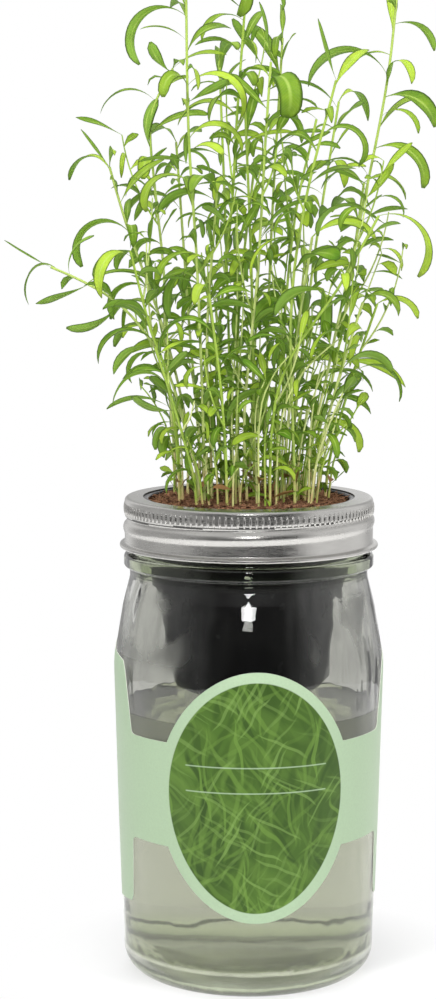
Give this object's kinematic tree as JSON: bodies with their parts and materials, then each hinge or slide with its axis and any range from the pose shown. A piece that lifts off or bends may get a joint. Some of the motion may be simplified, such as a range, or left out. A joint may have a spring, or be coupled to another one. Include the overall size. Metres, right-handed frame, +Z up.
{
  "type": "hydroponic jar planter",
  "caption": "Wide-mouth glass jar with a threaded metal band, hanging black grow pot, coir plug, felt wick, paper label and a crown of narrow-leaved herbs.",
  "frame": {"origin": "centre of the ring that the jar stands on, on the table's plane", "axes": "+Z up along the jar's axis, -Y towards the label's front, +X to its right"},
  "size_m": [0.1509, 0.1317, 0.3747],
  "materials": {
    "jar_glass": "clear gloss",
    "band_tinplate": "satin",
    "pot_plastic": "gloss",
    "coir": "fibrous matte",
    "wick_felt": "felt",
    "label_paper": "coated paper",
    "herb_green": "leaf"
  },
  "bodies": {
    "jar": {"glass_jar": "jar_glass", "label": "label_paper"},
    "insert": {"grow_pot": "pot_plastic"},
    "band": {"screw_band": "band_tinplate"},
    "plug": {"growing_medium": "coir", "wick": "wick_felt", "herb_01": "herb_green", "herb_02": "herb_green", "herb_03": "herb_green", "herb_04": "herb_green", "herb_05": "herb_green", "herb_06": "herb_green", "herb_07": "herb_green", "herb_08": "herb_green", "herb_09": "herb_green", "herb_10": "herb_green", "herb_11": "herb_green", "herb_12": "herb_green", "herb_13": "herb_green", "herb_14": "herb_green", "herb_15": "herb_green", "herb_16": "herb_green", "herb_17": "herb_green", "herb_18": "herb_green", "herb_19": "herb_green", "herb_20": "herb_green", "herb_21": "herb_green", "herb_22": "herb_green", "herb_23": "herb_green", "herb_24": "herb_green", "herb_25": "herb_green", "herb_26": "herb_green"}
  },
  "joints": [
    {"name": "insert_rise", "type": "slide", "parent": "jar", "child": "insert", "axis": [0, 0, 1], "range_m": [0, 0.00636]},
    {"name": "band_turn", "type": "hinge", "parent": "insert", "child": "band", "pos_m": [0, 0, 0.164], "axis": [0, 0, 1], "range_deg": [0, 450]},
    {"name": "plug_lift", "type": "slide", "parent": "insert", "child": "plug", "axis": [0, 0, 1], "range_m": [0, 0.16]}
  ],
  "couplings": [
    {"joint": "insert_rise", "follows": "band_turn", "m_per_rad": 0.00080851}
  ]
}
